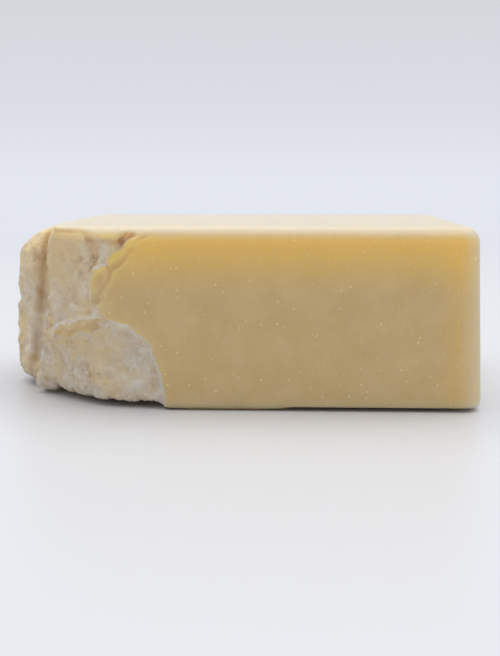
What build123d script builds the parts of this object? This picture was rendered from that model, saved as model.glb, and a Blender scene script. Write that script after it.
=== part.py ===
from build123d import *

import os

# A bar of raw soap, cut from a block, with one end broken off.
#
# The bar lies on its largest face. Its sound end is at +X, and leans back a little from foot to
# top, as a hand cut does. Its broken end is at -X. The break takes the front corner away as two
# hollow facets, one above the other, and leaves an upright ridge, a groove behind the ridge, and
# a lobe that reaches furthest out. The edge of the top face is broken straight across, and the
# surface rolls over from there to the lobe.
#
# Units are millimetres, +Z is up and the front of the bar faces -Y. The origin is the centre of
# the bar's overall length and depth, at the surface that it lies on.

# The bar, as it was cut
LENGTH = 83.0  # from the tip of the lobe to the foot of the sound end
DEPTH = 54.0
HEIGHT = 30.0
END_LEAN = 1.0  # how far the top of the sound end stands back from its foot

# How far handling has rounded its edges
CORNER_ROUND = 3.0  # the two upright corners of the sound end
TOP_ROUND = 2.6
FOOT_ROUND = 1.7

# The break
BREAK_REACH = 31.5  # how far it runs along the front face, from the tip of the lobe
CUTTING_MARGIN = 6.0  # how far the cutting shapes run past the bar

# The edge of the break at nine heights, as seen from above. Each height is a share of HEIGHT.
# Each point is a distance along the bar, as a share of BREAK_REACH from the tip of the lobe, and
# a distance across it, as a share of DEPTH from the front face. The nine points of a height are
# where the front facet starts, its middle, the ridge, the groove, the near side of the lobe, its
# crest, the hollow behind it, the rear crest and the rear corner.
BREAK_LEVELS = [
    (0.00, [(1.00, 0.000), (0.60, 0.055), (0.24, 0.275), (0.27, 0.315),
            (0.23, 0.350), (0.14, 0.460), (0.17, 0.660), (0.12, 0.830), (0.30, 1.000)]),
    (0.10, [(1.00, 0.000), (0.60, 0.045), (0.22, 0.265), (0.27, 0.310),
            (0.16, 0.350), (0.01, 0.480), (0.10, 0.660), (0.03, 0.810), (0.25, 1.000)]),
    (0.30, [(0.95, 0.000), (0.60, 0.050), (0.27, 0.210), (0.32, 0.265),
            (0.17, 0.345), (0.03, 0.500), (0.12, 0.650), (0.04, 0.790), (0.23, 1.000)]),
    (0.41, [(0.86, 0.000), (0.58, 0.040), (0.28, 0.185), (0.35, 0.255),
            (0.15, 0.350), (0.00, 0.520), (0.15, 0.640), (0.07, 0.800), (0.26, 1.000)]),
    (0.50, [(0.70, 0.000), (0.52, 0.045), (0.31, 0.165), (0.38, 0.240),
            (0.14, 0.355), (0.02, 0.520), (0.13, 0.640), (0.08, 0.820), (0.28, 1.000)]),
    (0.65, [(0.62, 0.000), (0.50, 0.050), (0.33, 0.125), (0.36, 0.200),
            (0.13, 0.350), (0.03, 0.520), (0.09, 0.670), (0.08, 0.820), (0.25, 1.000)]),
    (0.82, [(0.66, 0.000), (0.52, 0.028), (0.355, 0.085), (0.36, 0.160),
            (0.18, 0.310), (0.045, 0.500), (0.11, 0.670), (0.10, 0.830), (0.27, 1.000)]),
    (0.93, [(0.56, 0.000), (0.47, 0.012), (0.39, 0.035), (0.34, 0.130),
            (0.28, 0.270), (0.18, 0.480), (0.20, 0.670), (0.21, 0.830), (0.33, 1.000)]),
    (1.00, [(0.46, 0.000), (0.43, 0.010), (0.41, 0.025), (0.40, 0.140),
            (0.39, 0.290), (0.39, 0.480), (0.40, 0.670), (0.40, 0.830), (0.41, 1.000)]),
]


def cut_bar():
    """The bar before it broke, left long at the end that breaks."""
    foot = LENGTH / 2
    far = -LENGTH / 2 - CUTTING_MARGIN
    side = Plane.XZ.offset(DEPTH / 2) * Polygon(
        (far, 0), (foot, 0), (foot - END_LEAN, HEIGHT), (far, HEIGHT), align=None
    )
    bar = extrude(side, amount=-DEPTH)
    sound_end = bar.faces().sort_by(Axis.X)[-1]
    upright = sound_end.edges().filter_by(lambda edge: abs(edge.tangent_at(0.5).Z) > 0.5)
    bar = fillet(upright, CORNER_ROUND)
    bar = fillet(bar.faces().sort_by(Axis.Z)[-1].edges(), TOP_ROUND)
    return fillet(bar.faces().sort_by(Axis.Z)[0].edges(), FOOT_ROUND)


def break_outline(height, points):
    """One height's closed outline of everything on the sound side of the break."""
    right = LENGTH / 2 + CUTTING_MARGIN
    front = -DEPTH / 2 - CUTTING_MARGIN
    back = DEPTH / 2 + CUTTING_MARGIN
    edge = [
        (-LENGTH / 2 + along * BREAK_REACH, -DEPTH / 2 + across * DEPTH)
        for along, across in points
    ]
    corners = [(right, front), (edge[0][0], front), *edge, (edge[-1][0], back), (right, back)]
    return Polyline(*[(x, y, height) for x, y in corners], close=True)


def sound_side():
    """Everything on the sound side of the break, as one block past the bar on its other sides."""
    levels = [(share * HEIGHT, points) for share, points in BREAK_LEVELS]
    below = (-CUTTING_MARGIN, levels[0][1])
    above = (HEIGHT + CUTTING_MARGIN, levels[-1][1])
    outlines = [break_outline(*level) for level in (below, *levels, above)]
    return Solid.make_loft([Wire(outline.edges()) for outline in outlines], ruled=True)


def soap_bar():
    """The bar as it is, without what broke off."""
    return cut_bar() & sound_side()


os.makedirs("parts", exist_ok=True)
export_step(soap_bar(), "parts/soap_bar.step")
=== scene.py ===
# A bar of raw soap with one end broken off. The sound faces are waxy and slightly translucent,
# and the break is rough and chalky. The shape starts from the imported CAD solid. The break is then
# sculpted on a field of distances, in millimetres: less than 0 inside the soap, more outside it.

import itertools
import math

import bmesh
import bpy
import numpy as np
import openvdb
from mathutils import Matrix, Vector


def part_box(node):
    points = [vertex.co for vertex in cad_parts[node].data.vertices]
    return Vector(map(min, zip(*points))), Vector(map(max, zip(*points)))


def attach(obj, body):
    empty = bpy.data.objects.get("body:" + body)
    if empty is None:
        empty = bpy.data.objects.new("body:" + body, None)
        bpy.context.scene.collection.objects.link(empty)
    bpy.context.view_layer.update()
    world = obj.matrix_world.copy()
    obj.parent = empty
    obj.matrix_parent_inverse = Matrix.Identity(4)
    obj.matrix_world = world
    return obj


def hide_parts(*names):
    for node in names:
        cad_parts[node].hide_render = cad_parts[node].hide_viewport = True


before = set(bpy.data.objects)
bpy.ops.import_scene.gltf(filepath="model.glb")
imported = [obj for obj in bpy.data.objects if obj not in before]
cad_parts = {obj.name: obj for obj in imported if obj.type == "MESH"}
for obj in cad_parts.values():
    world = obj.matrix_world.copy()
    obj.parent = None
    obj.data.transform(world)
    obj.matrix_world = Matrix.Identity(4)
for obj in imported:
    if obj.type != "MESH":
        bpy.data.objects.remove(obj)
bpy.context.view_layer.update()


# --- Sizes, in millimetres --------------------------------------------------------------------

MM = 0.001  # a millimetre, in metres

# The bar as the CAD has it
LOW, HIGH = (np.array(corner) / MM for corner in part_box("soap_bar"))
FOOT_LOSS = 0.06  # how much of the length the rounding of the foot takes
BACK = HIGH[1]
TOP = HIGH[2]
SOUND_END = HIGH[0] + FOOT_LOSS
END_LEAN = 1.0
CORNER_ROUND = 3.0
TOP_ROUND = 2.6
FOOT_ROUND = 1.7

# The foot of the front stands off the table a little, but for where the bar bears on it.
FOOT_LIFT = 0.65
FOOT_ZONE = 3.0  # the lift is worked out below this height
BEARING_LEFT, LEFT_FADE = -7, 5
BEARING_RIGHT, RIGHT_FADE = 5, 7

# The break lies to the left of BREAK_END, and its flat facets are blurred left of BLUR_START.
BREAK_END = -6.0
BREAK_FADE = 2.0
BLUR_START = -13
FRONT_START, FRONT_FULL = -9.5, -12.0  # y, where the features of the front set in

# How finely the soap is meshed, and where the break's smaller faces stop
COARSE = 0.76
FINE_ROUNDS = 2
UNDERSIDE = 0.3
TOP_FACE = 29.6
BACK_FACE = 26.6
ROLL_OVER = -27  # to the left of this the break takes in the top and the back too
CLOSE_UP_END = -9.0  # the front of the break is finest to the left of this
CLOSE_UP_TOP = 29.2

# Outlines of the features that show from the front, as (x, z)
OUTLINES = {
    "shell": [(-10.0, -1.0), (-10.1, 4.3), (-11.1, 7.1), (-11.6, 9.2), (-13.2, 11.7), (-15.9, 14.1),
              (-19.3, 15.0), (-21.5, 13.0), (-26.6, 11.2), (-30.5, 10.6), (-36.0, 8.0),
              (-38.0, -1.0)],
    "upper": [(-20.3, 26.8), (-20.7, 24.2), (-21.6, 21.3), (-22.0, 19.4), (-21.5, 17.3),
              (-21.7, 15.4), (-26.4, 13.9), (-31.0, 11.6), (-36.0, 12.0), (-34.0, 30.0),
              (-22.0, 29.5)],
    "tongue": [(-30.2, 10.8), (-28.2, 12.8), (-25.6, 13.9), (-21.3, 15.4), (-19.2, 15.3),
               (-21.5, 13.2), (-26.4, 11.2)],
    "torn": [(-13.4, 28.5), (-16.0, 26.9), (-18.3, 24.9), (-20.6, 23.0), (-22.5, 22.0),
             (-23.0, 28.4), (-17.0, 28.9)],
    "valley": [(-11.6, 28.7), (-14.4, 25.6), (-17.6, 22.0), (-20.0, 17.5), (-22.0, 17.0),
               (-21.6, 20.5), (-20.6, 23.0), (-18.3, 24.9), (-16.0, 26.9), (-13.4, 28.5)],
}

# The shell is cut in sharply at its outline and rises again towards its middle.
SHELL_DEPTH = 0.9
SHELL_EDGE = 0.35
SHELL_RISE = 0.6

# How deep the other features go, and how far inside their outlines that starts and is reached
STEPS = {
    "upper": (0.55, 0.0, 0.8),
    "tongue": (0.6, -0.2, 1.4),
    "torn": (0.95, 0.0, 1.0),
    "valley": (0.4, -0.2, 1.2),
}

# Pale lips along the outlines, partly whiter crumb and partly a painted highlight where the thin
# edges catch the light: how far inside they run, half width, strength, and the axis along which
# each sets in, with where it starts and is full
LIPS = {
    "shell": (0.1, 0.4, 1.0, 0, -20, -17),
    "upper": (-0.1, 0.5, 0.4, 0, -24, -22.5),
    "tongue": (-0.25, 0.3, 0.35, 0, -19, -22),
    "torn": (0.2, 0.5, 0.35, 2, 28.3, 27),
}

# Lumps and hollows that show from the front: (x, z), (half width, half height), rise
FRONT_LUMPS = [
    ((-19.0, 26.4), (1.1, 1.9), 0.65),
    ((-14.6, 26.9), (1.7, 0.8), 0.35),
    ((-17.2, 25.6), (1.5, 0.8), 0.35),
    ((-17.0, 27.4), (0.45, 0.9), -0.7),
    ((-19.4, 23.8), (0.7, 0.45), -0.4),
    ((-27.0, 5.5), (1.0, 0.7), -0.35),
    ((-22.6, 4.6), (0.8, 3.4), -0.45),
    ((-26.5, 23.7), (0.35, 0.35), 0.3),
]

# Where the break is whitest, white crumb and a painted highlight on the small wedge at the shell's
# peak: (x, z), (half width, half height), strength
WHITE_SPOTS = [
    ((-17.6, 14.0), (1.7, 0.8), 1.0),
    ((-19.2, 5.4), (1.0, 0.6), 0.9),
    ((-14.6, 4.0), (1.5, 0.9), 0.8),
    ((-15.5, 8.2), (1.8, 1.6), 0.45),
    ((-26.6, 23.6), (0.4, 0.4), 1.0),
    ((-24.5, 2.0), (3.5, 0.9), 0.5),
    ((-19.0, 26.0), (1.2, 1.6), 0.4),
]

# Hollows and lumps of the lobe, the groove and the ridge's foot: (x, y, z), radius, rise
LOBE_LUMPS = [
    ((-33.0, -9.5, 16.5), 2.6, -1.6),
    ((-37.8, -4.0, 11.7), 1.8, -1.0),
    ((-35.0, -9.5, 7.0), 2.4, -0.8),
    ((-35.5, -8.0, 21.0), 1.6, 0.8),
    ((-34.0, -10.0, 25.3), 1.2, 0.5),
    ((-31.5, -13.0, 27.0), 1.8, -1.3),
    ((-31.6, -14.0, 23.0), 2.2, -1.9),
    ((-32.0, -13.0, 18.5), 2.4, -1.9),
    ((-32.8, -12.0, 13.5), 2.4, -1.9),
    ((-33.6, -10.5, 8.5), 2.4, -1.7),
    ((-34.8, -9.5, 3.0), 2.2, -1.4),
    ((-34.6, -12.4, 2.0), 3.0, 1.5),
    ((-33.4, -14.3, 7.0), 2.6, 1.0),
    ((-34.6, -8.6, 6.0), 2.0, -1.2),
]

# The painted shade line of the groove by the ridge: where it is at one height, how it leans and its
# width
GROOVE_X, GROOVE_Z = -32.7, 24
GROOVE_LEAN = 0.18
GROOVE_HALF_WIDTH = 0.9

# Grain of the break: (size, strength, first seed) of its lumps, its crumb and its upright streaks
LUMPS = (4.5, 0.36, 21)
CRUMB = (1.3, 0.3, 31)
STREAKS = (1.2, 0.08, 41)


# --- Colours, in sRGB from 0 to 255, and light ------------------------------------------------

SKIN = (212, 184, 131)
SKIN_CLOUD = (218, 192, 142)
# Painted glow, golden under the top edge and at the sound end; on the waxy tongue and valley a
# little of it is their own tone
PAINTED_GLOW_GOLD = (238, 202, 110)
# Painted sheen, paler on the top, the sound end and the foot; on the waxy tongue and valley a
# little of it is their own lighter tone
PAINTED_SHEEN_PALE = (210, 199, 178)
GRAIN = (250, 238, 208)
CHALK = (234, 214, 186)
CHALK_WHITE = (254, 248, 238)
CHALK_CREAM = (250, 226, 186)
CHALK_WARM = (250, 220, 168)
# Pale crumb at the break's thin edges and whitest spots, partly a painted highlight
CHALK_EDGE_AND_PAINTED_HIGHLIGHT = (252, 247, 236)
# Painted shade, dark and warm, in the break's crevices and along the groove by the ridge
CREVICE_SHADE_COLOUR = (186, 140, 80)

# The grains' spacing and largest radius, in metres
GRAINS = [(0.0009, 0.00021), (0.0026, 0.00034)]
GRAIN_SHARE = 0.5  # of the places that could hold a grain
GRAIN_STRENGTH = 0.5
GRAIN_EDGE = 5  # how sharp their edges are

FLOOR = (215, 216, 220)
FLOOR_RADIUS = 3  # in metres, as the rest of the stage is
FLOOR_LIT = 0.12  # the floor shows only its own lit shade as far as this from the origin
FLOOR_PLAIN = 0.6  # past this it has the backdrop's own shade

# The backdrop's shade at each height, from the horizon up
BACKDROP = [(0.0, (228, 231, 239)), (0.06, (220, 222, 230)), (0.15, (213, 215, 221))]
ROOM = (250, 252, 255)
ROOM_LIGHT = 0.54
LAMP_SIZE = (1.2, 1.0)
LAMP_POWER = 7.8
LAMP_PLACE = (0.05, 0.10, 0.80)

CAMERA_PLACE = (0.0104, -0.1971, 0.0379)
CAMERA_DIP = 8.09
CAMERA_TURN = 2.22
CAMERA_LENS = 58.72
CAMERA_NEAREST = 0.01


# --- Helpers ------------------------------------------------------------------------------------

def ramp(value, start, end):
    """0 before start, 1 past end and smooth between them."""
    t = np.clip((value - start) / (end - start), 0, 1)
    return t * t * (3 - 2 * t)


def trilinear(cell, t, corner_value):
    """The sum of a cell's eight corner values, each weighted by how near t is to it."""
    value = np.zeros(len(t))
    for step in itertools.product((0, 1), repeat=3):
        weight = np.prod(np.where(step, t, 1 - t), axis=1)
        value += weight * corner_value(cell + step)
    return value


def noise(points, size, seed):
    """Smooth random values from -1 to 1, with features of about that size in millimetres."""
    cells = 32
    lattice = np.random.default_rng(seed).uniform(-1, 1, (cells, cells, cells))
    place = points / size
    cell = np.floor(place).astype(int)
    t = place - cell
    t = t * t * t * (t * (t * 6 - 15) + 10)
    return trilinear(cell, t, lambda corner: lattice[tuple((corner % cells).T)])


def rough(points, size, seed, octaves):
    """Noise of several sizes, each half the one before."""
    turn = np.array([[0.36, 0.48, -0.8], [-0.8, 0.6, 0.0], [0.48, 0.64, 0.6]])
    value = np.zeros(len(points))
    for octave in range(octaves):
        value += noise(points, size / 2 ** octave, seed + octave) / 2 ** octave
        points = points @ turn
    return value


def patch(x, z, centre, half_size):
    """1 at the centre of a soft oval patch and near 0 outside it."""
    return np.exp(-((x - centre[0]) / half_size[0]) ** 2 - ((z - centre[1]) / half_size[1]) ** 2)


def rounded(a, b, radius):
    """The distance to where both a and b are below 0, with their shared edge rounded."""
    within = np.minimum(np.maximum(a, b), -radius)
    return within + np.hypot(np.maximum(a + radius, 0), np.maximum(b + radius, 0))


def uncut(points):
    """The distance to the bar as it was before it broke, left open at the end that broke."""
    x, y, z = points.T
    end = x - SOUND_END + END_LEAN * z / TOP
    walls = rounded(np.abs(y) - BACK, end, CORNER_ROUND)
    return rounded(rounded(walls, z - TOP, TOP_ROUND), -z, FOOT_ROUND)


def in_break(x):
    """From 0 to the right of the break to 1 within it."""
    return ramp(x, BREAK_END, BREAK_END - BREAK_FADE)


def at_front(y):
    """From 0 in the lobe and behind it to 1 at the front."""
    return ramp(y, FRONT_START, FRONT_FULL)


# --- The CAD solid as a grid of distances -------------------------------------------------------

def cad_grid(step, reach):
    """The CAD solid's level set."""
    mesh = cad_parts["soap_bar"].data
    mesh.calc_loop_triangles()
    corners = np.empty(len(mesh.vertices) * 3, np.float32)
    mesh.vertices.foreach_get("co", corners)
    triangles = np.empty(len(mesh.loop_triangles) * 3, np.int32)
    mesh.loop_triangles.foreach_get("vertices", triangles)
    return openvdb.FloatGrid.createLevelSetFromPolygons(
        corners.reshape(-1, 3) / MM,
        triangles=triangles.reshape(-1, 3).astype(np.uint32),
        transform=openvdb.createLinearTransform(voxelSize=step),
        halfWidth=reach,
    )


def grid_span(step, margin):
    """The first cell and the shape of a grid that holds the bar with a margin of cells."""
    start = np.floor(LOW / step).astype(int) - margin
    return start, np.ceil(HIGH / step).astype(int) + margin - start


def cad_field():
    """The CAD solid's distances, with the break's flat facets blurred into each other."""
    step, margin, reach, blurs = 0.5, 6, 12, 3
    start, shape = grid_span(step, margin)
    values = np.empty(shape, np.float32)
    cad_grid(step, reach).copyToArray(values, ijk=tuple(int(i) for i in start))
    blurred = values
    for _ in range(blurs):
        for axis in range(3):
            blurred = (np.roll(blurred, 1, axis) + 2 * blurred + np.roll(blurred, -1, axis)) / 4
    x = (start[0] + np.arange(shape[0])) * step
    sharp = ramp(x, BLUR_START, BREAK_END)[:, None, None]
    values = sharp * values + (1 - sharp) * blurred

    def distance(points):
        place = np.clip(points / step - start, 0, shape - 1.001)
        cell = np.floor(place).astype(int)
        return trilinear(cell, place - cell, lambda corner: values[tuple(corner.T)])

    return distance


cad_distance = cad_field()


# --- The sculpted break -------------------------------------------------------------------------

def inside(x, z, outline):
    """How far inside a closed outline each place is. It is below 0 outside it."""
    nearest = np.full(len(x), np.inf)
    crossings = np.zeros(len(x), int)
    for (ax, az), (bx, bz) in zip(outline, outline[1:] + outline[:1]):
        dx, dz = bx - ax, bz - az
        along = np.clip(((x - ax) * dx + (z - az) * dz) / (dx * dx + dz * dz), 0, 1)
        nearest = np.minimum(nearest, np.hypot(x - ax - along * dx, z - az - along * dz))
        if dz:
            crossings += ((az > z) != (bz > z)) & (x < ax + (z - az) * dx / dz)
    return np.where(crossings % 2 == 1, nearest, -nearest)


def regions(points):
    """How far inside each of the front features' outlines the points are."""
    x = points[:, 0] + 0.45 * noise(points, 2.2, 11) + 0.2 * noise(points, 0.9, 12)
    z = points[:, 2] + 0.45 * noise(points, 2.2, 13) + 0.2 * noise(points, 0.9, 14)
    return {name: inside(x, z, outline) for name, outline in OUTLINES.items()}


def relief(points):
    """How much deeper than the blurred CAD surface the sculpted break lies."""
    x, y, z = points.T
    at = regions(points)
    depth = SHELL_DEPTH * (1 - np.exp(-np.maximum(at["shell"], 0) / SHELL_EDGE))
    depth -= SHELL_RISE * ramp(at["shell"], 1.5, 7)
    for name, (deep, start, full) in STEPS.items():
        depth += deep * ramp(at[name], start, full)
    for centre, half_size, rise in FRONT_LUMPS:
        depth -= rise * patch(x, z, centre, half_size)
    depth *= at_front(y)
    for (cx, cy, cz), radius, rise in LOBE_LUMPS:
        away = (x - cx) ** 2 + (y - cy) ** 2 + (z - cz) ** 2
        depth -= rise * np.exp(-away / radius ** 2)
    return depth


def grit(points):
    """The break's own roughness: lumps, crumb and, on the upper facet, upright streaks."""
    z = points[:, 2]
    streaks = points * [1, 1, 0.3]
    upper = ramp(z, 13, 16) * ramp(z, 29, 25)
    value = np.zeros(len(points))
    for places, share, octaves, (size, strength, seed) in (
        (points, 1, 3, LUMPS),
        (points, 1, 3, CRUMB),
        (streaks, upper, 2, STREAKS),
    ):
        value += strength * share * rough(places, size, seed, octaves)
    return value * (1 - 0.65 * ramp(z, 24, 28))


def foot_lift(points):
    """The distance to the soap above the foot of the front, for points low in the bar."""
    x, y, z = points.T
    wall = cad_distance(np.stack([x, y, np.full(len(x), FOOT_ZONE)], axis=1))
    to_right = ramp(x, BEARING_RIGHT, BEARING_RIGHT + RIGHT_FADE)
    to_left = ramp(x, BEARING_LEFT, BEARING_LEFT - LEFT_FADE)
    lift = FOOT_LIFT * np.maximum(to_right, to_left) * ramp(wall, -6, -1) * ramp(y, 0, -6)
    return lift - z


def soap(points):
    """The distance to the finished soap."""
    value = np.maximum(cad_distance(points), uncut(points))
    left = np.flatnonzero((points[:, 0] < BREAK_END) & (np.abs(value) < 3))
    near = points[left]
    skin = uncut(near)
    sculpted = value[left] + relief(near)
    exposed = ramp(sculpted - skin, 0.1, 0.5) * in_break(near[:, 0])
    value[left] = np.maximum(sculpted + grit(near) * exposed, skin)
    foot = np.flatnonzero((points[:, 2] < FOOT_ZONE) & (points[:, 1] < 0))
    value[foot] = np.maximum(value[foot], foot_lift(points[foot]))
    return value


# --- The mesh -----------------------------------------------------------------------------------

def slopes(points, here):
    """Which way the distance grows at each point, and how fast."""
    nudge = 0.06
    slope = np.empty_like(points)
    for axis in range(3):
        moved = points.copy()
        moved[:, axis] += nudge
        slope[:, axis] = (soap(moved) - here) / nudge
    return slope


def settled(points):
    """The points moved onto the soap's surface, in three steps of at most a quarter of a mm."""
    for _ in range(3):
        here = soap(points)
        slope = slopes(points, here)
        size = np.maximum((slope ** 2).sum(1), 0.25)
        step = (here / size)[:, None] * slope
        length = np.linalg.norm(step, axis=1)[:, None]
        points = points - step * np.minimum(1, 0.25 / np.maximum(length, 1e-9))
    return points


def coarse_faces():
    """A closed skin of four-sided faces round the soap, before it is refined."""
    start, shape = grid_span(COARSE, 4)
    band = 3 * COARSE
    cells = np.stack(np.meshgrid(*[np.arange(n) for n in shape], indexing="ij"), -1)
    places = (cells.reshape(-1, 3) + start) * COARSE
    values = soap(places).reshape(shape).astype(np.float32)
    values = np.clip(values, -band, band)
    grid = openvdb.FloatGrid(band)
    grid.transform = openvdb.createLinearTransform(voxelSize=COARSE)
    grid.copyFromArray(values, ijk=tuple(int(i) for i in start))
    points, _, quads = grid.convertToPolygons(isovalue=0, adaptivity=0)
    return points, [tuple(int(i) for i in face) for face in quads]


def on_break(centre):
    """Whether a face's centre is on the break or near it, and off the underside."""
    if centre.x >= BREAK_END or centre.z <= UNDERSIDE:
        return False
    return centre.x < ROLL_OVER or (centre.z < TOP_FACE and centre.y < BACK_FACE)


def on_front_of_break(centre):
    """Whether a face's centre is among the features of the front."""
    if centre.x >= CLOSE_UP_END or centre.y >= FRONT_START:
        return False
    return UNDERSIDE < centre.z < CLOSE_UP_TOP


def refined(mesh):
    """Splits the faces of the break into smaller ones, and those of its front again."""
    for is_fine in (on_break, on_front_of_break)[:FINE_ROUNDS]:
        bm = bmesh.new()
        bm.from_mesh(mesh)
        edges = set()
        for face in bm.faces:
            if is_fine(face.calc_center_median()):
                edges.update(face.edges)
        bmesh.ops.subdivide_edges(bm, edges=list(edges), cuts=1, use_grid_fill=True)
        bm.to_mesh(mesh)
        bm.free()


# --- What the material reads at each point ------------------------------------------------------

def crevices(points):
    """From 0 on open ground to 1 deep in a crease, by how soon soap is met again on the way out."""
    reach = 1.4
    slope = slopes(points, soap(points))
    steepness = np.linalg.norm(slope, axis=1)
    out = points + reach * slope / steepness[:, None]
    return np.clip(1 - soap(out) / reach, 0, 1)


def pale_crumb_and_painted_highlight(points, at):
    """Where the break is pale: its thin lips and its whitest spots, partly whiter crumb and partly
    painted highlight.
    """
    x, y, z = points.T
    pale = np.zeros(len(points))
    for name, (offset, half_width, strength, axis, start, full) in LIPS.items():
        line = np.exp(-((at[name] - offset) / half_width) ** 2)
        pale += strength * line * at_front(y) * ramp(points[:, axis], start, full)
    crumbs = ramp(rough(points, 1.2, 61, 3), -0.6, 0.5)
    for centre, half_size, strength in WHITE_SPOTS:
        pale += strength * at_front(y) * patch(x, z, centre, half_size) * crumbs
    return np.clip(pale, 0, 1) * ramp(-uncut(points), 0.0, 0.1)


def painted_crevice_shade(points, raw):
    """Painted shade, dark and warm, in the break's crevices and along the groove by the ridge."""
    x, y, z = points.T
    line = GROOVE_X - GROOVE_LEAN * (GROOVE_Z - z)
    groove = np.exp(-((x - line) / GROOVE_HALF_WIDTH) ** 2)
    groove *= ramp(y, -17, -13) * ramp(y, -3, -7)
    groove *= 0.75 + 0.5 * rough(points, 3.0, 71, 3)
    return np.clip(0.45 * raw * ramp(crevices(points), 0.2, 0.9) + 0.6 * groove, 0, 1)


def finishes(points):
    """Six values from 0 to 1 that the material reads, for each point."""
    x, y, z = points.T
    at = regions(points)
    below = TOP - z
    end = SOUND_END - x
    waxy = at_front(y) * np.maximum(ramp(at["tongue"], -0.2, 0.3), ramp(at["valley"], -0.1, 0.4))
    raw = ramp(-uncut(points), 0.12, 0.5) * in_break(x)
    raw *= (1 - 0.9 * waxy) * (1 - 0.6 * ramp(z, 26.5, 29))
    # Painted glow: golden in a band under the top edge and near the sound end; on the waxy tongue
    # and valley a little is their own tone.
    painted_glow_and_wax = 0.9 * ramp(below, 0.3, 2.4) * ramp(below, 12, 2.5) + 0.35 * ramp(end, 9, 3) + 0.15 * waxy
    # Painted sheen: paler on the top and its rounded edge, near the sound end and near the foot; on
    # the waxy tongue and valley a little is their own lighter tone.
    painted_sheen_and_wax = 0.9 * ramp(below, 2.6, 0.1) + 0.6 * ramp(end, 5, 1) + 0.35 * ramp(z, 3, 0) + 0.15 * waxy
    return {
        "raw": raw,
        "pale": pale_crumb_and_painted_highlight(points, at),
        "painted_glow_and_wax": np.clip(painted_glow_and_wax, 0, 1) * (1 - raw),
        "painted_sheen_and_wax": np.clip(painted_sheen_and_wax, 0, 1) * (1 - raw),
        "crevice_shade": painted_crevice_shade(points, raw),
        "warm": 0.15 + 0.6 * ramp(z, 12, 27),
    }


def add_attribute(mesh, name, values):
    layer = mesh.attributes.new(name, "FLOAT", "POINT")
    layer.data.foreach_set("value", np.asarray(values, np.float32))


def make_soap():
    """The whole bar as one closed mesh."""
    points, faces = coarse_faces()
    mesh = bpy.data.meshes.new("soap_bar_skin")
    mesh.from_pydata([tuple(p) for p in points.tolist()], [], faces)
    refined(mesh)
    co = np.empty(len(mesh.vertices) * 3, np.float32)
    mesh.vertices.foreach_get("co", co)
    points = settled(co.reshape(-1, 3).astype(float))
    mesh.vertices.foreach_set("co", (points * MM).astype(np.float32).ravel())
    for name, values in finishes(points).items():
        add_attribute(mesh, name, values)
    mesh.shade_smooth()
    mesh.update()
    bm = bmesh.new()
    bm.from_mesh(mesh)
    bmesh.ops.recalc_face_normals(bm, faces=bm.faces)
    bm.to_mesh(mesh)
    bm.free()
    return bpy.data.objects.new("soap_bar_skin", mesh)


# --- Materials ----------------------------------------------------------------------------------

def linear(red, green, blue):
    """An sRGB colour, each part from 0 to 255, as Blender wants it."""
    parts = [c / 255 for c in (red, green, blue)]
    return (*[c / 12.92 if c <= 0.04045 else ((c + 0.055) / 1.055) ** 2.4 for c in parts], 1)


class Tree:
    """The nodes of a material or a world, with short ways to add to them."""

    def __init__(self, owner):
        owner.use_nodes = True
        self.nodes = owner.node_tree.nodes
        self.links = owner.node_tree.links

    def feed(self, target, value):
        """Gives an input a plain value, or links an output to it."""
        if isinstance(value, bpy.types.NodeSocket):
            self.links.new(value, target)
        else:
            target.default_value = value

    def add(self, kind, **values):
        """A new node, with its named inputs fed. An underscore stands for a space."""
        node = self.nodes.new("ShaderNode" + kind)
        for name, value in values.items():
            self.feed(node.inputs[name.replace("_", " ")], value)
        return node

    def place(self):
        return self.add("TexCoord").outputs["Object"]

    def read(self, name):
        """A value that the mesh holds at each point."""
        node = self.add("Attribute")
        node.attribute_name = name
        return node.outputs["Fac"]

    def mix(self, factor, first, second):
        """One colour over another."""
        node = self.add("Mix")
        node.data_type = "RGBA"
        colour_a, colour_b = [i for i in node.inputs if i.type == "RGBA"]
        self.feed(node.inputs[0], factor)
        self.feed(colour_a, first)
        self.feed(colour_b, second)
        return [o for o in node.outputs if o.type == "RGBA"][0]

    def math(self, operation, first, second, clamp=False):
        node = self.add("Math")
        node.operation = operation
        node.use_clamp = clamp
        self.feed(node.inputs[0], first)
        self.feed(node.inputs[1], second)
        return node.outputs[0]

    def between(self, value, low, high, to_low=0.0, to_high=1.0):
        """A smooth step from to_low, where the value is low, to to_high, where it is high."""
        node = self.add(
            "MapRange", Value=value, From_Min=low, From_Max=high, To_Min=to_low, To_Max=to_high
        )
        node.interpolation_type = "SMOOTHSTEP"
        return node.outputs["Result"]

    def texture(self, scale, detail, roughness):
        """Cloudy noise, with that many features to the metre."""
        node = self.add(
            "TexNoise", Vector=self.place(), Scale=scale, Detail=detail, Roughness=roughness
        )
        return node.outputs["Fac"]

    def specks(self, spacing, size):
        """Small round grains of mixed sizes and strengths, in some of the texture's cells."""
        node = self.add("TexVoronoi", Vector=self.place(), Scale=1 / spacing)
        cell = self.add("SeparateColor", Color=node.outputs["Color"])
        chosen = self.math("LESS_THAN", cell.outputs["Red"], GRAIN_SHARE)
        radius = self.math("MULTIPLY", cell.outputs["Green"], size / spacing)
        edge = self.math("SUBTRACT", radius, node.outputs["Distance"])
        grain = self.math("MULTIPLY", edge, spacing / size * GRAIN_EDGE, clamp=True)
        shown = self.math("MULTIPLY", grain, chosen)
        return self.math("MULTIPLY", shown, self.between(cell.outputs["Blue"], 0, 1, 0.3, 1.0))

    def seen(self):
        """1 where the camera or a reflection looks, and 0 for the light on things."""
        rays = self.add("LightPath")
        return self.math("MAXIMUM", rays.outputs["Is Camera Ray"], rays.outputs["Is Glossy Ray"])

    def mix_shaders(self, factor, first, second):
        node = self.add("MixShader", Fac=factor)
        self.feed(node.inputs[1], first)
        self.feed(node.inputs[2], second)
        return node.outputs[0]


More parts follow.
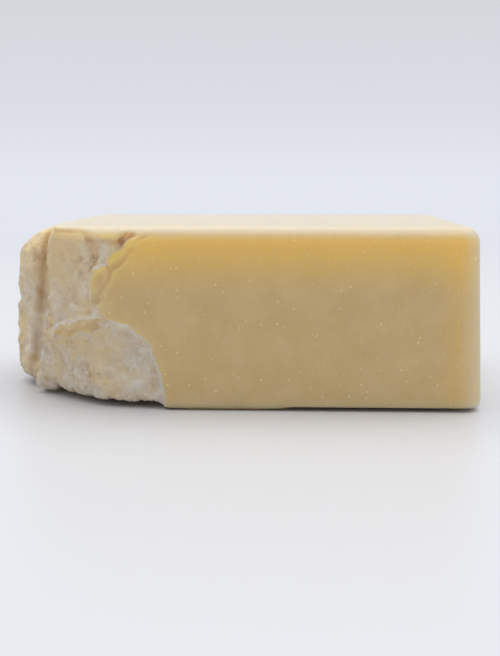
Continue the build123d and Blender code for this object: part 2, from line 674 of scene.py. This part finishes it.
def skin_colour(tree):
    """Cream, with faint clouds and pale grains, a painted golden glow under the top edge and at the
    sound end, and a painted pale sheen on the top, the sound end and the foot. The waxy tongue and
    valley get a little of both as their own tone.
    """
    clouds = tree.between(tree.texture(180, 5, 0.65), 0.35, 0.7)
    skin = tree.mix(clouds, linear(*SKIN), linear(*SKIN_CLOUD))
    skin = tree.mix(tree.read("painted_glow_and_wax"), skin, linear(*PAINTED_GLOW_GOLD))
    skin = tree.mix(tree.read("painted_sheen_and_wax"), skin, linear(*PAINTED_SHEEN_PALE))
    grains = tree.math("MAXIMUM", *[tree.specks(spacing, size) for spacing, size in GRAINS])
    return tree.mix(tree.math("MULTIPLY", grains, GRAIN_STRENGTH), skin, linear(*GRAIN))


def break_colour(tree):
    """Chalky and mottled, warmer higher up, and pale at its thin edges and whitest spots, partly
    with a painted highlight.
    """
    mottle = tree.between(tree.texture(420, 6, 0.7), 0.38, 0.66)
    chalk = tree.mix(mottle, linear(*CHALK), linear(*CHALK_WHITE))
    cream = tree.between(tree.texture(150, 4, 0.6), 0.45, 0.62)
    chalk = tree.mix(cream, chalk, linear(*CHALK_CREAM))
    chalk = tree.mix(tree.read("warm"), chalk, linear(*CHALK_WARM))
    return tree.mix(tree.read("pale"), chalk, linear(*CHALK_EDGE_AND_PAINTED_HIGHLIGHT))


def soap_material():
    material = bpy.data.materials.new("soap")
    tree = Tree(material)
    shader = tree.nodes["Principled BSDF"].inputs
    raw = tree.read("raw")
    colour = tree.mix(raw, skin_colour(tree), break_colour(tree))
    # Painted shade in the break's crevices and along the groove by the ridge
    colour = tree.mix(tree.read("crevice_shade"), colour, linear(*CREVICE_SHADE_COLOUR))
    tree.feed(shader["Base Color"], colour)
    tree.feed(shader["Roughness"], tree.between(raw, 0, 1, 0.40, 0.85))

    # Fine relief: a faint ripple on the skin and a crumb on the break
    crumb = tree.math("MULTIPLY", tree.texture(1500, 5, 0.7), tree.between(raw, 0, 1, 0.05, 1.0))
    bump = tree.add("Bump", Strength=0.9, Distance=0.0008, Height=crumb)
    tree.feed(shader["Normal"], bump.outputs["Normal"])

    # Light runs some millimetres through the skin, and hardly at all through the chalk.
    tree.feed(shader["Subsurface Weight"], tree.between(raw, 0, 1, 1.0, 0.15))
    shader["Subsurface Radius"].default_value = (1.0, 0.86, 0.45)
    shader["Subsurface Scale"].default_value = 0.004
    return material


def floor_material():
    """Pale and satin. Far off it has the backdrop's own shade, so no horizon shows."""
    material = bpy.data.materials.new("floor")
    tree = Tree(material)
    shader = tree.nodes["Principled BSDF"]
    shader.inputs["Base Color"].default_value = linear(*FLOOR)
    shader.inputs["Roughness"].default_value = 0.35
    distance = tree.add("VectorMath")
    distance.operation = "LENGTH"
    tree.feed(distance.inputs[0], tree.place())
    far = tree.between(distance.outputs["Value"], FLOOR_LIT, FLOOR_PLAIN)
    glow = tree.add("Emission", Color=linear(*BACKDROP[0][1]))
    share = tree.math("MULTIPLY", far, tree.seen())
    both = tree.mix_shaders(share, shader.outputs[0], glow.outputs[0])
    tree.feed(tree.nodes["Material Output"].inputs["Surface"], both)
    return material


# --- The soap -----------------------------------------------------------------------------------

soap_bar = make_soap()
bpy.context.scene.collection.objects.link(soap_bar)
soap_bar.data.materials.append(soap_material())
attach(soap_bar, "root")
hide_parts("soap_bar")


# --- The stage ----------------------------------------------------------------------------------

def add_studio():
    """A pale room all round. The camera and reflections see it shaded from the horizon up."""
    world = bpy.data.worlds.new("studio")
    bpy.context.scene.world = world
    tree = Tree(world)
    direction = tree.add("TexCoord").outputs["Generated"]
    height = tree.add("SeparateXYZ", Vector=direction).outputs["Z"]
    shades = tree.add("ValToRGB", Fac=height)
    stops = shades.color_ramp.elements
    for index, (position, shade) in enumerate(BACKDROP):
        stop = stops[index] if index < len(stops) else stops.new(position)
        stop.position = position
        stop.color = linear(*shade)
    light = tree.nodes["Background"]
    light.inputs["Color"].default_value = linear(*ROOM)
    light.inputs["Strength"].default_value = ROOM_LIGHT
    backdrop = tree.add("Background", Color=shades.outputs["Color"])
    both = tree.mix_shaders(tree.seen(), light.outputs[0], backdrop.outputs[0])
    tree.feed(tree.nodes["World Output"].inputs["Surface"], both)


def add_floor():
    mesh = bpy.data.meshes.new("floor")
    bm = bmesh.new()
    bmesh.ops.create_circle(bm, cap_ends=True, segments=96, radius=FLOOR_RADIUS)
    bm.to_mesh(mesh)
    bm.free()
    mesh.materials.append(floor_material())
    floor = bpy.data.objects.new("floor", mesh)
    bpy.context.scene.collection.objects.link(floor)


def add_lamp():
    """A large soft lamp overhead, aimed at the middle of the soap's foot."""
    lamp = bpy.data.lights.new("overhead", "AREA")
    lamp.shape = "RECTANGLE"
    lamp.size, lamp.size_y = LAMP_SIZE
    lamp.energy = LAMP_POWER
    holder = bpy.data.objects.new("overhead", lamp)
    holder.location = LAMP_PLACE
    holder.rotation_euler = (-Vector(LAMP_PLACE)).to_track_quat("-Z", "Y").to_euler()
    bpy.context.scene.collection.objects.link(holder)


def add_camera():
    camera = bpy.data.cameras.new("camera")
    camera.sensor_width = 36
    camera.lens = CAMERA_LENS
    camera.clip_start = CAMERA_NEAREST
    holder = bpy.data.objects.new("camera", camera)
    holder.location = CAMERA_PLACE
    holder.rotation_euler = (math.radians(90 - CAMERA_DIP), 0, math.radians(CAMERA_TURN))
    bpy.context.scene.collection.objects.link(holder)
    bpy.context.scene.camera = holder


add_studio()
add_floor()
add_lamp()
add_camera()

bpy.context.scene.view_settings.view_transform = "Standard"
